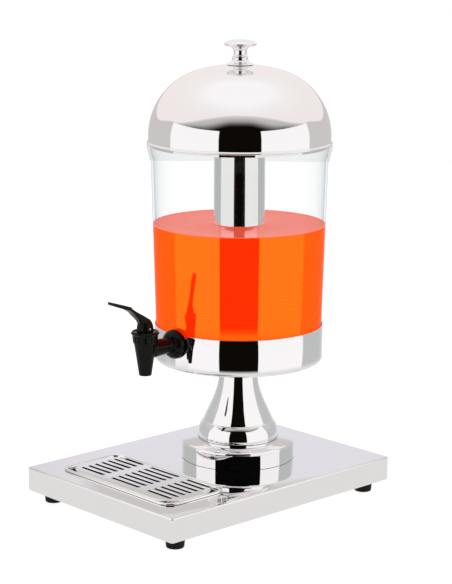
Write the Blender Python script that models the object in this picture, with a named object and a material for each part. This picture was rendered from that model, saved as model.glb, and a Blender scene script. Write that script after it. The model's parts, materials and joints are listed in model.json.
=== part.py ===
"""Beverage dispenser: a clear drum with a lid and a tap, on a pedestal that stands on a low steel base.

Dimensions are in millimetres and become metres when a piece is made. +X is to the right, -Y is the
front, where the tap points, and +Z is up. The origin lies on the floor under the middle of the base.
"""

import math

import bmesh
import bpy
from mathutils import Matrix, Vector

MM = 0.001
GAP = 0.3

# Base plate: a folded box, open below, with a return flange round its lower edge.
BASE_WIDTH = 260.0
BASE_DEPTH = 350.0
BASE_BOTTOM = 14.0
BASE_TOP = 42.2
BASE_CORNER = 3.5
SHEET = 1.2
FLANGE = 34.0

# Feet, their screws and nuts.
FOOT_X = 109.0
FOOT_Y = 152.0
FOOT_TOP_RADIUS = 12.0
FOOT_BOTTOM_RADIUS = 10.2
FOOT_SCREW_RADIUS = 2.0

# Drip tray and grille.
TRAY_Y = -107.1
TRAY_HALF_WIDTH = 98.0
TRAY_HALF_DEPTH = 45.4
TRAY_CORNER = 17.0
GRILLE_CORNER = 30.0
GRILLE_TOP = 44.4
SLOT_GROUPS = ((-80.0, -39.0), (-25.0, 25.0), (39.0, 80.0))
SLOT_ROWS = 7
SLOT_PITCH = 9.9
SLOT_WIDTH = 3.5
SLOT_FIRST_Y = -131.5

# Pedestal, cup and drum, all round one upright axis.
AXIS_Y = 45.6
AXIS = (0.0, AXIS_Y)
ROD_RADIUS = 5.0
CUP_BOTTOM = 163.0
CUP_TOP = 207.0
CUP_RADIUS = 100.5
CUP_SHEET = 0.9
NOTCH_HALF_WIDTH = 14.0
NOTCH_SHOULDER = 8.0
DRUM_BOTTOM = 172.0
DRUM_RADIUS = 98.35
DRUM_TAPER = 0.0275
DRUM_WALL = 3.0
COLLAR_BOTTOM = 402.0
COLLAR_RADIUS = 109.3
DRUM_TOP = 421.4
TUBE_RADIUS = 30.2
TUBE_TOP = 417.0

# Lid: a straight skirt, a knuckle and a flatter crown.
SKIRT_RADIUS = 107.4
SKIRT_TOP = 431.1
KNUCKLE = 79.0
CROWN = 178.9
CROWN_TOP = 514.2
LID_SHEET = 1.2
BEAD_RADIUS = 109.0
KNOB_TOP = 543.0
KNOB_SCREW_RADIUS = 1.6

# Tap: an upright spout and valve, on a shank that runs along Y through the drum's wall.
SPOUT = (0.0, -101.4)
SHANK_Z = 196.0
SHANK_RADIUS = 9.0
SHANK_BORE = 6.5
SPOUT_BORE = 5.0
TAP_FACE_Y = -55.9
SEAT_Z = 190.0
CHAMBER_RADIUS = 9.0
CHAMBER_TOP = 213.3
STEM_RADIUS = 2.0
PIN_Z = 222.0
PIN_RADIUS = 1.2
RIB_RECESSES = 14

COARSE = 16
MEDIUM = 24
FINE = 32

ALONG_X = Matrix.Rotation(math.radians(90), 4, "Y")
ALONG_Y = Matrix.Rotation(math.radians(-90), 4, "X")
UPRIGHT = Matrix.Identity(4)


def clear_scene():
    """Empties the scene and drops what the objects left behind."""
    for obj in list(bpy.data.objects):
        bpy.data.objects.remove(obj, do_unlink=True)
    for group in (bpy.data.meshes, bpy.data.materials):
        for block in list(group):
            group.remove(block)


def material(name, colour, metallic=0.0, roughness=0.4, transmission=0.0):
    """One Principled material."""
    made = bpy.data.materials.new(name)
    made.use_nodes = True
    shader = made.node_tree.nodes["Principled BSDF"]
    shader.inputs["Base Color"].default_value = (*colour, 1.0)
    shader.inputs["Metallic"].default_value = metallic
    shader.inputs["Roughness"].default_value = roughness
    shader.inputs["Transmission Weight"].default_value = transmission
    made.diffuse_color = (*colour, 1.0)
    return made


def circle(radius, z, segments):
    """A ring of points round the Z axis."""
    steps = [math.tau * i / segments for i in range(segments)]
    return [Vector((radius * math.cos(a), radius * math.sin(a), z)) for a in steps]


def hexagon(across_flats, z, segments=MEDIUM):
    """A ring of points on a hexagon, at the same angles as a circle's points."""
    points = []
    for i in range(segments):
        angle = math.tau * i / segments
        from_flat = (angle + math.pi / 6) % (math.pi / 3) - math.pi / 6
        radius = across_flats / 2 / math.cos(from_flat)
        points.append(Vector((radius * math.cos(angle), radius * math.sin(angle), z)))
    return points


def rounded(half_x, half_y, corner, z, centre=(0.0, 0.0), steps=5):
    """A ring of points on a rectangle with rounded corners."""
    points = []
    for quarter, (sign_x, sign_y) in enumerate(((1, 1), (-1, 1), (-1, -1), (1, -1))):
        for step in range(steps + 1):
            angle = math.pi / 2 * (quarter + step / steps)
            x = centre[0] + sign_x * (half_x - corner) + corner * math.cos(angle)
            y = centre[1] + sign_y * (half_y - corner) + corner * math.sin(angle)
            points.append(Vector((x, y, z)))
    return points


def skin(loops, capped=True):
    """A closed mesh over loops of points: capped at both ends, or joined end to end as a ring."""
    mesh = bmesh.new()
    rings = [[mesh.verts.new(point) for point in loop] for loop in loops]
    following = rings[1:] if capped else rings[1:] + rings[:1]
    for lower, upper in zip(rings, following):
        for i in range(len(lower)):
            j = (i + 1) % len(lower)
            mesh.faces.new((lower[i], lower[j], upper[j], upper[i]))
    if capped:
        mesh.faces.new(rings[0][::-1])
        mesh.faces.new(rings[-1])
    bmesh.ops.recalc_face_normals(mesh, faces=mesh.faces)
    return mesh


def turned(profile, segments=MEDIUM, capped=False, turn=UPRIGHT, centre=(0.0, 0.0, 0.0)):
    """A turned mesh from (radius, height) points, on an axis through centre."""
    mesh = skin([circle(radius, z, segments) for radius, z in profile], capped)
    mesh.transform(Matrix.Translation(centre) @ turn)
    return mesh


def cylinder(radius, low, high, segments=COARSE, turn=UPRIGHT, centre=(0.0, 0.0, 0.0)):
    """A plain round bar between two heights on its axis."""
    return turned(((radius, low), (radius, high)), segments, True, turn, centre)


def piece(name, mesh, surface, origin=(0.0, 0.0, 0.0)):
    """Makes a named object from a mesh in millimetres, with its origin at the given point."""
    mesh.transform(Matrix.Scale(MM, 4) @ Matrix.Translation(-Vector(origin)))
    data = bpy.data.meshes.new(name)
    mesh.to_mesh(data)
    mesh.free()
    data.shade_smooth()
    data.set_sharp_from_angle(angle=math.radians(32))
    data.materials.append(surface)
    obj = bpy.data.objects.new(name, data)
    obj.location = Vector(origin) * MM
    bpy.context.scene.collection.objects.link(obj)
    return obj


def combine(obj, mesh, operation="DIFFERENCE"):
    """Cuts a mesh from an object, or joins it on, through a hidden helper object."""
    helper = piece(f"{obj.name}_helper", mesh, obj.data.materials[0])
    helper.hide_render = True
    helper.display_type = "WIRE"
    modifier = obj.modifiers.new(helper.name, "BOOLEAN")
    modifier.operation = operation
    modifier.solver = "EXACT"
    modifier.object = helper
    return obj


def on_axis(z):
    """A point on the drum's axis."""
    return (0.0, AXIS_Y, z)


def on_spout(z):
    """A point on the spout's axis."""
    return (*SPOUT, z)


def drum_radius(z):
    """Outer radius of the drum's tapered wall."""
    return DRUM_RADIUS + DRUM_TAPER * (z - DRUM_BOTTOM)


def tray_loop(inset, z):
    """The tray's outline, moved inwards by an inset."""
    return rounded(
        TRAY_HALF_WIDTH - inset,
        TRAY_HALF_DEPTH - inset,
        TRAY_CORNER - inset,
        z,
        (0.0, TRAY_Y),
    )


def base_loop(inset, z):
    """The base plate's outline, moved inwards by an inset."""
    corner = max(BASE_CORNER - inset, 1.0)
    return rounded(BASE_WIDTH / 2 - inset, BASE_DEPTH / 2 - inset, corner, z)


def build_base(steel):
    """The folded base plate, with the tray's opening and the holes for the rod and the feet."""
    base = piece(
        "base_plate",
        skin(
            (
                base_loop(1.5, BASE_TOP),
                base_loop(0.45, BASE_TOP - 0.45),
                base_loop(0.0, BASE_TOP - 1.5),
                base_loop(0.0, BASE_BOTTOM),
                base_loop(FLANGE, BASE_BOTTOM),
                base_loop(FLANGE, BASE_BOTTOM + SHEET),
                base_loop(SHEET, BASE_BOTTOM + SHEET),
                base_loop(SHEET, BASE_TOP - SHEET),
            )
        ),
        steel,
    )
    combine(base, skin((tray_loop(3.0, BASE_TOP - 5), tray_loop(3.0, BASE_TOP + 5))))
    rod_hole = ROD_RADIUS + GAP
    combine(base, cylinder(rod_hole, BASE_TOP - 5, BASE_TOP + 5, centre=on_axis(0.0)))
    for x in (-FOOT_X, FOOT_X):
        for y in (-FOOT_Y, FOOT_Y):
            hole = cylinder(FOOT_SCREW_RADIUS + GAP, 10.0, 20.0, centre=(x, y, 0.0))
            combine(base, hole)


def build_feet(rubber, steel):
    """Four rubber feet, each with a screw from below and a nut above the flange."""
    sides = (("front", -FOOT_Y), ("rear", FOOT_Y))
    for end, y in sides:
        for hand, x in (("left", -FOOT_X), ("right", FOOT_X)):
            where = f"{end}_{hand}"
            bore = FOOT_SCREW_RADIUS + GAP
            foot = (
                (5.2, 0.0),
                (FOOT_BOTTOM_RADIUS - 0.6, 0.0),
                (FOOT_BOTTOM_RADIUS, 0.8),
                (FOOT_TOP_RADIUS, BASE_BOTTOM - GAP),
                (bore, BASE_BOTTOM - GAP),
                (bore, 8.3),
                (5.2, 8.3),
            )
            screw = (
                (3.2, 5.2),
                (4.0, 6.0),
                (4.0, 8.0),
                (FOOT_SCREW_RADIUS, 8.0),
                (FOOT_SCREW_RADIUS, 20.4),
            )
            nut_low = BASE_BOTTOM + SHEET + GAP
            nut_high = nut_low + 3.2
            nut = (
                hexagon(7.0, nut_low),
                hexagon(7.0, nut_high),
                circle(bore, nut_high, MEDIUM),
                circle(bore, nut_low, MEDIUM),
            )
            at = (x, y, 0.0)
            piece(f"foot_{where}", turned(foot, COARSE, centre=at), rubber, at)
            piece(f"foot_screw_{where}", turned(screw, COARSE, True, centre=at), steel, at)
            ring = skin(nut, capped=False)
            ring.transform(Matrix.Translation(at))
            piece(f"foot_nut_{where}", ring, steel, (x, y, nut_low))


def build_tray(steel):
    """The drawn pan with its rolled rim and inner ledge, and the slotted grille that lies on the ledge."""
    origin = (0.0, TRAY_Y, BASE_TOP + GAP)
    piece(
        "drip_tray",
        skin(
            (
                tray_loop(9.5, 22.0),
                tray_loop(7.8, 24.0),
                tray_loop(6.8, 39.4),
                tray_loop(3.8, 39.9),
                tray_loop(3.8, BASE_TOP + GAP),
                tray_loop(0.0, BASE_TOP + GAP),
                tray_loop(0.0, 44.0),
                tray_loop(0.8, 45.0),
                tray_loop(3.2, 45.0),
                tray_loop(4.6, 43.8),
                tray_loop(4.8, 40.7),
                tray_loop(8.0, 40.5),
                tray_loop(9.0, 24.6),
                tray_loop(10.3, 23.0),
            )
        ),
        steel,
        origin,
    )

    def outline(inset, z):
        """The grille's outline: its corners are cut back to leave finger gaps."""
        half_width = TRAY_HALF_WIDTH - 5.2 - inset
        half_depth = TRAY_HALF_DEPTH - 5.2 - inset
        return rounded(half_width, half_depth, GRILLE_CORNER - inset, z, (0.0, TRAY_Y), 7)

    grille = piece(
        "drip_grille",
        skin(
            (
                outline(0.8, GRILLE_TOP),
                outline(0.0, GRILLE_TOP - 0.8),
                outline(0.0, 41.0),
                outline(1.2, 41.0),
                outline(1.2, GRILLE_TOP - SHEET),
            )
        ),
        steel,
        origin,
    )
    slots = bmesh.new()
    for low, high in SLOT_GROUPS:
        for row in range(SLOT_ROWS):
            middle = ((low + high) / 2, SLOT_FIRST_Y + row * SLOT_PITCH)
            sides = ((high - low) / 2, SLOT_WIDTH / 2, 1.0)
            ends = (GRILLE_TOP - 4, GRILLE_TOP + 4)
            slot = skin([rounded(*sides, z, middle, steps=1) for z in ends])
            data = bpy.data.meshes.new("slot")
            slot.to_mesh(data)
            slot.free()
            slots.from_mesh(data)
            bpy.data.meshes.remove(data)
    combine(grille, slots)


def build_pedestal(steel, bolt_steel, rubber):
    """The pedestal's foot and bell, the cup on top, and the bolt that clamps them to the base."""
    origin = on_axis(BASE_TOP)
    centre = on_axis(0.0)
    hole = ROD_RADIUS + 1.2
    low = BASE_TOP + GAP
    foot = (
        (66.5, low),
        (68.0, low),
        (68.0, 59.7),
        (67.7, 61.3),
        (66.9, 62.9),
        (65.6, 63.9),
        (49.0, 66.9),
        (hole, 66.9),
        (hole, 65.4),
        (48.8, 65.4),
        (64.9, 62.4),
        (66.0, 61.4),
        (66.5, 60.0),
    )
    piece("pedestal_foot", turned(foot, FINE, centre=centre), steel, origin)
    outside = (
        (49.0, 67.2),
        (49.0, 68.8),
        (48.8, 72.0),
        (47.8, 77.0),
        (45.9, 82.0),
        (42.0, 87.8),
        (37.0, 99.5),
        (31.2, 112.0),
        (26.2, 126.0),
        (23.9, 137.0),
        (23.2, 148.0),
        (24.2, 157.0),
        (27.0, CUP_BOTTOM - GAP),
    )
    inside = [(radius - 1.5, z) for radius, z in outside[1:-1]]
    top_plate = ((hole, CUP_BOTTOM - GAP), (hole, CUP_BOTTOM - GAP - 1.5), (25.0, 161.2))
    bell = (*outside, *top_plate, *reversed(inside), (47.5, 67.2))
    piece("pedestal_bell", turned(bell, FINE, centre=centre), steel, origin)

    washer_bore = ROD_RADIUS + GAP
    floor = CUP_BOTTOM + SHEET
    for name, z in (("tie_rod_washer_top", floor + GAP), ("tie_rod_washer_bottom", 39.2)):
        ring = ((washer_bore, z), (12.0, z), (12.0, z + 1.5), (washer_bore, z + 1.5))
        piece(name, turned(ring, MEDIUM, centre=centre), bolt_steel, on_axis(z))
    head_low = floor + GAP + 1.5 + GAP
    rod = skin(
        (
            circle(ROD_RADIUS, 28.0, MEDIUM),
            circle(ROD_RADIUS, head_low, MEDIUM),
            hexagon(16.0, head_low),
            hexagon(16.0, head_low + 4.4),
        )
    )
    rod.transform(Matrix.Translation(centre))
    piece("tie_rod", rod, bolt_steel, on_axis(28.0))
    nut = skin(
        (
            circle(washer_bore, 30.9, MEDIUM),
            hexagon(16.0, 30.9),
            hexagon(16.0, 38.9),
            circle(washer_bore, 38.9, MEDIUM),
        ),
        capped=False,
    )
    nut.transform(Matrix.Translation(centre))
    piece("tie_rod_nut", nut, bolt_steel, on_axis(30.9))

    inner = CUP_RADIUS - CUP_SHEET
    cup_profile = (
        (hole, CUP_BOTTOM),
        (95.5, CUP_BOTTOM),
        (97.4, 163.4),
        (99.0, 164.5),
        (100.1, 166.1),
        (CUP_RADIUS, CUP_BOTTOM + 5),
        (CUP_RADIUS, CUP_TOP),
        (inner, CUP_TOP),
        (inner, CUP_BOTTOM + 5),
        (98.8, 166.0),
        (97.4, 164.9),
        (95.5, floor),
        (hole, floor),
    )
    cup = piece("drum_cup", turned(cup_profile, FINE, centre=centre), steel, on_axis(CUP_BOTTOM))
    combine(cup, notch())
    pad = (
        (60.0, floor + GAP),
        (94.5, floor + GAP),
        (96.0, 166.6),
        (96.0, DRUM_BOTTOM - GAP),
        (60.0, DRUM_BOTTOM - GAP),
    )
    piece("cup_pad", turned(pad, FINE, centre=centre), rubber, on_axis(floor))


def notch():
    """The U-shaped notch for the tap: round below, with a rounded shoulder at each side of its mouth."""
    right = []
    for step in range(9):
        angle = math.radians(-90 + 90 * step / 8)
        x = NOTCH_HALF_WIDTH * math.cos(angle)
        right.append((x, SHANK_Z + NOTCH_HALF_WIDTH * math.sin(angle)))
    for step in range(6):
        angle = math.radians(180 - 90 * step / 5)
        x = NOTCH_HALF_WIDTH + NOTCH_SHOULDER * (1 + math.cos(angle))
        right.append((x, CUP_TOP - NOTCH_SHOULDER + NOTCH_SHOULDER * math.sin(angle)))
    right.append((NOTCH_HALF_WIDTH + NOTCH_SHOULDER, CUP_TOP + 6))
    outline = right + [(-x, z) for x, z in reversed(right[1:])]
    ends = (AXIS_Y - CUP_RADIUS - 6, AXIS_Y - CUP_RADIUS + 12)
    return skin([[Vector((x, y, z)) for x, z in outline] for y in ends])


def build_drum(clear, steel, silicone):
    """The clear drum with its flared collar, and the ice tube that stands in it."""
    centre = on_axis(0.0)
    floor = DRUM_BOTTOM + 3.5
    wall_low = drum_radius(175.0)
    wall_high = drum_radius(COLLAR_BOTTOM)
    profile = (
        (DRUM_RADIUS - 3.0, DRUM_BOTTOM),
        (DRUM_RADIUS - 0.9, 172.8),
        (wall_low, 175.0),
        (wall_high, COLLAR_BOTTOM),
        (106.2, 406.0),
        (108.9, 417.0),
        (COLLAR_RADIUS, 420.0),
        (108.6, DRUM_TOP),
        (106.6, DRUM_TOP),
        (105.9, 419.5),
        (103.4, 406.5),
        (wall_high - DRUM_WALL, 403.0),
        (wall_low - DRUM_WALL, 178.0),
        (93.6, 176.0),
        (92.0, floor),
    )
    drum = piece("drum", turned(profile, FINE, True, centre=centre), clear, on_axis(DRUM_BOTTOM))
    hole = cylinder(SHANK_RADIUS + GAP, -60.0, -40.0, MEDIUM, ALONG_Y, (0.0, 0.0, SHANK_Z))
    combine(drum, hole)

    tube_floor = floor + 4.6
    tube = (
        (TUBE_RADIUS - 1.5, tube_floor),
        (TUBE_RADIUS, tube_floor + 1.5),
        (TUBE_RADIUS, TUBE_TOP - 2.2),
        (TUBE_RADIUS + 0.8, TUBE_TOP - 1.1),
        (TUBE_RADIUS, TUBE_TOP),
        (TUBE_RADIUS - 1.0, TUBE_TOP),
        (TUBE_RADIUS - 1.0, tube_floor + 1.8),
        (TUBE_RADIUS - 2.0, tube_floor + 1.0),
    )
    origin = on_axis(floor + GAP)
    piece("ice_tube", turned(tube, MEDIUM, True, centre=centre), steel, origin)
    shoe = (
        (24.0, floor + GAP),
        (33.0, floor + GAP),
        (33.0, floor + 8.0),
        (TUBE_RADIUS + GAP, floor + 8.0),
        (TUBE_RADIUS + GAP, tube_floor + 1.4),
        (TUBE_RADIUS - 1.4, tube_floor - GAP),
        (24.0, tube_floor - GAP),
    )
    piece("ice_tube_foot", turned(shoe, MEDIUM, centre=centre), silicone, origin)


def dome(sheet):
    """(radius, height) points over the lid's crown and knuckle, from the middle out, inset by a sheet."""
    crown_z = CROWN_TOP - CROWN
    knuckle_r = SKIRT_RADIUS - KNUCKLE
    meet = math.atan2(knuckle_r, SKIRT_TOP - crown_z)
    points = []
    for step in range(3):
        angle = meet * step / 3
        radius = (CROWN - sheet) * math.sin(angle)
        points.append((max(radius, KNOB_SCREW_RADIUS + GAP), crown_z + (CROWN - sheet) * math.cos(angle)))
    for step in range(8):
        angle = meet + (math.pi / 2 - meet) * step / 7
        radius = knuckle_r + (KNUCKLE - sheet) * math.sin(angle)
        points.append((radius, SKIRT_TOP + (KNUCKLE - sheet) * math.cos(angle)))
    return points


def build_lid(steel, bolt_steel):
    """The spun lid with its bead and centring ring, and the knob with its collar, screw and washer."""
    centre = on_axis(0.0)
    origin = on_axis(DRUM_TOP + GAP)
    low = DRUM_TOP + GAP
    rim = (
        (SKIRT_RADIUS, 424.6),
        (BEAD_RADIUS - 0.5, 424.2),
        (BEAD_RADIUS, 423.0),
        (BEAD_RADIUS - 0.5, low),
        (SKIRT_RADIUS - LID_SHEET, low),
    )
    shell = (*dome(0.0), *rim, *reversed(dome(LID_SHEET)))
    piece("lid_dome", turned(shell, FINE, centre=centre), steel, origin)
    ring = (
        (102.8, 418.6),
        (104.0, 418.6),
        (104.0, 421.9),
        (SKIRT_RADIUS - LID_SHEET - GAP, 421.9),
        (SKIRT_RADIUS - LID_SHEET - GAP, 423.1),
        (102.8, 423.1),
    )
    piece("lid_ring", turned(ring, FINE, centre=centre), steel, origin)
    collar = (
        (2.4, 514.6),
        (16.0, 513.9),
        (16.0, 515.0),
        (9.9, 518.4),
        (9.4, 519.4),
        (9.4, 522.6),
        (2.4, 522.6),
    )
    piece("knob_collar", turned(collar, MEDIUM, centre=centre), steel, origin)
    knob = (
        (9.4, 522.9),
        (9.4, 523.8),
        (7.8, 524.6),
        (7.8, 531.0),
        (10.0, 534.0),
        (17.0, 535.2),
        (19.1, 537.0),
        (19.1, 538.6),
        (17.3, 540.6),
        (12.0, 542.3),
        (4.0, KNOB_TOP),
    )
    handle = piece("lid_knob", turned(knob, MEDIUM, True, centre=centre), steel, origin)
    bore = KNOB_SCREW_RADIUS + GAP
    combine(handle, cylinder(bore, 520.0, 531.0, centre=centre))
    washer = ((bore, 511.0), (8.0, 511.0), (8.0, 512.3), (bore, 512.3))
    piece("knob_washer", turned(washer, MEDIUM, centre=centre), bolt_steel, origin)
    shaft = ((KNOB_SCREW_RADIUS, 510.7), (KNOB_SCREW_RADIUS, 529.5))
    screw = ((3.6, 507.4), (4.5, 508.4), (4.5, 510.7), *shaft)
    piece("knob_screw", turned(screw, COARSE, True, centre=centre), bolt_steel, origin)


def build_tap_body(black, rubber):
    """The tap's moulding, the seals on both sides of the drum's wall, and the nut inside the drum."""
    origin = (0.0, TAP_FACE_Y, SHANK_Z)
    spout = (
        (7.2, 166.6),
        (7.4, 168.0),
        (10.3, 188.0),
        (12.8, 204.0),
        (12.8, CHAMBER_TOP),
    )
    body = piece("tap_body", turned(spout, MEDIUM, True, centre=on_spout(0.0)), black, origin)
    shank = (
        (8.5, SPOUT[1]),
        (10.6, SPOUT[1] + 8),
        (10.6, -88.5),
        (9.25, -66.8),
        (12.0, -65.4),
        (15.5, -62.0),
        (17.2, -58.8),
        (17.2, TAP_FACE_Y),
        (SHANK_RADIUS, TAP_FACE_Y),
        (SHANK_RADIUS, -37.0),
    )
    along = (0.0, 0.0, SHANK_Z)
    combine(body, turned(shank, MEDIUM, True, ALONG_Y, along), "UNION")
    neck = ((12.4, 204.4), (17.5, 204.4), (17.5, 220.0), (12.4, 220.0))
    combine(body, turned(neck, MEDIUM, centre=on_spout(0.0)))
    valve = (
        (SPOUT_BORE, 160.0),
        (SPOUT_BORE, SEAT_Z),
        (CHAMBER_RADIUS, SEAT_Z),
        (CHAMBER_RADIUS, 220.0),
    )
    combine(body, turned(valve, MEDIUM, True, centre=on_spout(0.0)))
    inlet = SPOUT[1] + CHAMBER_RADIUS - 1
    combine(body, cylinder(SHANK_BORE, inlet, -30.0, COARSE, ALONG_Y, along))

    bore = SHANK_RADIUS + GAP
    low, high = SHANK_Z - 25, SHANK_Z + 25
    gasket = ((bore, -55.6), (13.5, -55.6), (13.5, -48.0), (bore, -48.0))
    outer = piece("tap_gasket", turned(gasket, MEDIUM, False, ALONG_Y, along), rubber, origin)
    drum_outside = ((drum_radius(low) + GAP, low), (drum_radius(high) + GAP, high))
    combine(outer, turned(drum_outside, FINE, True, centre=on_axis(0.0)))
    washer = ((bore, -52.0), (13.8, -52.0), (13.8, -47.5), (bore, -47.5))
    inner = piece("tap_washer", turned(washer, MEDIUM, False, ALONG_Y, along), rubber, origin)
    inset = DRUM_WALL + GAP
    drum_inside = ((drum_radius(low) - inset, low), (drum_radius(high) - inset, high))
    combine(inner, turned(drum_inside, FINE, True, centre=on_axis(0.0)), "INTERSECT")
    nut = skin(
        (
            circle(bore, -47.2, MEDIUM),
            hexagon(25.0, -47.2),
            hexagon(25.0, -40.2),
            circle(bore, -40.2, MEDIUM),
        ),
        capped=False,
    )
    nut.transform(Matrix.Translation(along) @ ALONG_Y)
    piece("tap_nut", nut, black, origin)


def build_valve(black, rubber, spring_steel):
    """The bonnet, the stem with its seat cup and spring, and the lever on its pin."""
    centre = on_spout(0.0)
    plate = CHAMBER_TOP + 0.6
    bonnet_profile = (
        (12.7, 204.7),
        (13.9, 204.7),
        (15.0, 214.5),
        (16.4, 215.3),
        (16.4, 217.0),
        (15.9, 217.6),
        (14.6, 218.5),
        (14.0, 218.2),
        (11.5, 216.8),
        (STEM_RADIUS + GAP, 216.8),
        (STEM_RADIUS + GAP, plate),
        (12.7, plate),
    )
    cap = turned(bonnet_profile, MEDIUM, centre=centre)
    bonnet = piece("tap_bonnet", cap, black, on_spout(plate))
    recesses = bmesh.new()
    for i in range(RIB_RECESSES):
        recess = skin([rounded(3.0, 1.8, 0.4, z, (16.35, 0.0), 1) for z in (206.0, 213.2)])
        turn = Matrix.Rotation(math.tau * (i + 0.5) / RIB_RECESSES, 4, "Z")
        recess.transform(Matrix.Translation(centre) @ turn)
        data = bpy.data.meshes.new("recess")
        recess.to_mesh(data)
        recess.free()
        recesses.from_mesh(data)
        bpy.data.meshes.remove(data)
    combine(bonnet, recesses)

    pin_point = on_spout(PIN_Z)
    collar_low = SEAT_Z + GAP + 4.8 + GAP
    stem_profile = (
        (STEM_RADIUS, SEAT_Z + 2.0),
        (STEM_RADIUS, collar_low),
        (5.0, collar_low),
        (5.0, collar_low + 1.2),
        (STEM_RADIUS, collar_low + 1.2),
        (STEM_RADIUS, PIN_Z + 4.0),
    )
    rod = turned(stem_profile, COARSE, True, centre=centre)
    stem = piece("tap_stem", rod, black, on_spout(SEAT_Z))
    pin_bore = PIN_RADIUS + GAP
    pin_hole = cylinder(pin_bore, -12.0, 12.0, COARSE, ALONG_X, pin_point)
    combine(stem, pin_hole.copy())
    seat = (
        (6.4, SEAT_Z + GAP),
        (7.2, SEAT_Z + 1.2),
        (7.2, SEAT_Z + GAP + 4.8),
        (STEM_RADIUS + GAP, SEAT_Z + GAP + 4.8),
        (STEM_RADIUS + GAP, SEAT_Z + 1.7),
    )
    plug = turned(seat, MEDIUM, True, centre=centre)
    piece("seat_cup", plug, rubber, on_spout(SEAT_Z))
    low = collar_low + 1.2 + GAP
    coil = helix(5.4, 0.55, low + 0.55, plate - GAP - 0.55, 5)
    coil.transform(Matrix.Translation(centre))
    piece("return_spring", coil, spring_steel, on_spout(plate))

    base = 216.8 + GAP
    hood = ((9.7, base), (9.7, 221.5), (9.0, 225.5), (7.4, 229.3), (5.9, 231.5))
    lever = piece("tap_lever", turned(hood, MEDIUM, True, centre=centre), black, pin_point)
    arm = (
        ((-96.5, 226.0), (-108.5, 226.0), 4.5),
        ((-97.6, 232.1), (-111.9, 232.4), 5.0),
        ((-111.5, 240.1), (-118.0, 238.3), 5.2),
        ((-125.5, 248.1), (-123.6, 243.8), 6.0),
        ((-126.3, 250.7), (-127.4, 246.9), 7.5),
        ((-150.9, 258.7), (-150.5, 255.0), 7.5),
    )
    loops = []
    for top, bottom, half in arm:
        corners = ((-half, *top), (half, *top), (half, *bottom), (-half, *bottom))
        loops.append([Vector(corner) for corner in corners])
    combine(lever, skin(loops), "UNION")
    middle = (0.0, SPOUT[1] - 0.1)
    slot = skin([rounded(2.5, 4.9, 1.0, z, middle, 2) for z in (210.0, PIN_Z + 5.4)])
    combine(lever, slot)
    combine(lever, pin_hole)
    pin = cylinder(PIN_RADIUS, -9.0, 9.0, COARSE, ALONG_X, pin_point)
    piece("lever_pin", pin, spring_steel, pin_point)


def helix(radius, wire, low, high, turns, per_turn=12, sides=5):
    """A coil spring round the Z axis, between two heights of its wire's middle."""
    loops = []
    count = turns * per_turn
    for i in range(count + 1):
        angle = math.tau * i / per_turn
        outwards = Vector((math.cos(angle), math.sin(angle), 0.0))
        middle = outwards * radius
        middle.z = low + (high - low) * i / count
        loop = []
        for j in range(sides):
            side = math.tau * j / sides
            upwards = Vector((0.0, 0.0, math.sin(side)))
            loop.append(middle + wire * (math.cos(side) * outwards + upwards))
        loops.append(loop)
    return skin(loops)


def main():
    """Builds every piece of the dispenser."""
    clear_scene()
    chrome = material("chrome", (0.82, 0.82, 0.84), 1.0, 0.06)
    bright = material("polished_steel", (0.72, 0.72, 0.73), 1.0, 0.12)
    fastener = material("zinc_steel", (0.55, 0.56, 0.58), 1.0, 0.35)
    black = material("black_plastic", (0.015, 0.015, 0.013), 0.0, 0.3)
    rubber = material("black_rubber", (0.02, 0.02, 0.02), 0.0, 0.75)
    silicone = material("white_silicone", (0.75, 0.75, 0.72), 0.0, 0.6)
    clear = material("clear_plastic", (0.95, 0.97, 0.97), 0.0, 0.04, 1.0)
    build_base(bright)
    build_feet(rubber, fastener)
    build_tray(bright)
    build_pedestal(chrome, fastener, rubber)
    build_drum(clear, chrome, silicone)
    build_lid(chrome, fastener)
    build_tap_body(black, rubber)
    build_valve(black, rubber, fastener)


main()
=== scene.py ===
"""The looks of a beverage dispenser: chrome pedestal and lid, clear drum of juice, black lever tap."""

import json
import math

import bmesh
import bpy
from mathutils import Matrix, Vector


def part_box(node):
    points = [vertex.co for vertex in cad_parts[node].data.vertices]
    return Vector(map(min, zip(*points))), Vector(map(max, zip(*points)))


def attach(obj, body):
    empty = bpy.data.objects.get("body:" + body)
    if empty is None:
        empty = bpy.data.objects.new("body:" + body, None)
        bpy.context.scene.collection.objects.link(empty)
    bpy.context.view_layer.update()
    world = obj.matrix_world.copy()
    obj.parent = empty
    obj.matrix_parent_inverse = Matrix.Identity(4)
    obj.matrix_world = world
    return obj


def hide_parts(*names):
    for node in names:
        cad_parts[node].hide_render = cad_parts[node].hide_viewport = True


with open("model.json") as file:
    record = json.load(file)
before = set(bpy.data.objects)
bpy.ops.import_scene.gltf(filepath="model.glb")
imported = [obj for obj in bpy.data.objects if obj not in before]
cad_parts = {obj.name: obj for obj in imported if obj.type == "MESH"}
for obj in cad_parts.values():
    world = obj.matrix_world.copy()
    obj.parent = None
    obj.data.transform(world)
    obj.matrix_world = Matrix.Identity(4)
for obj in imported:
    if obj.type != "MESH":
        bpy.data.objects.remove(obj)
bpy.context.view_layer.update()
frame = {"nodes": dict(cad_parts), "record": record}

MM = 0.001

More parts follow.
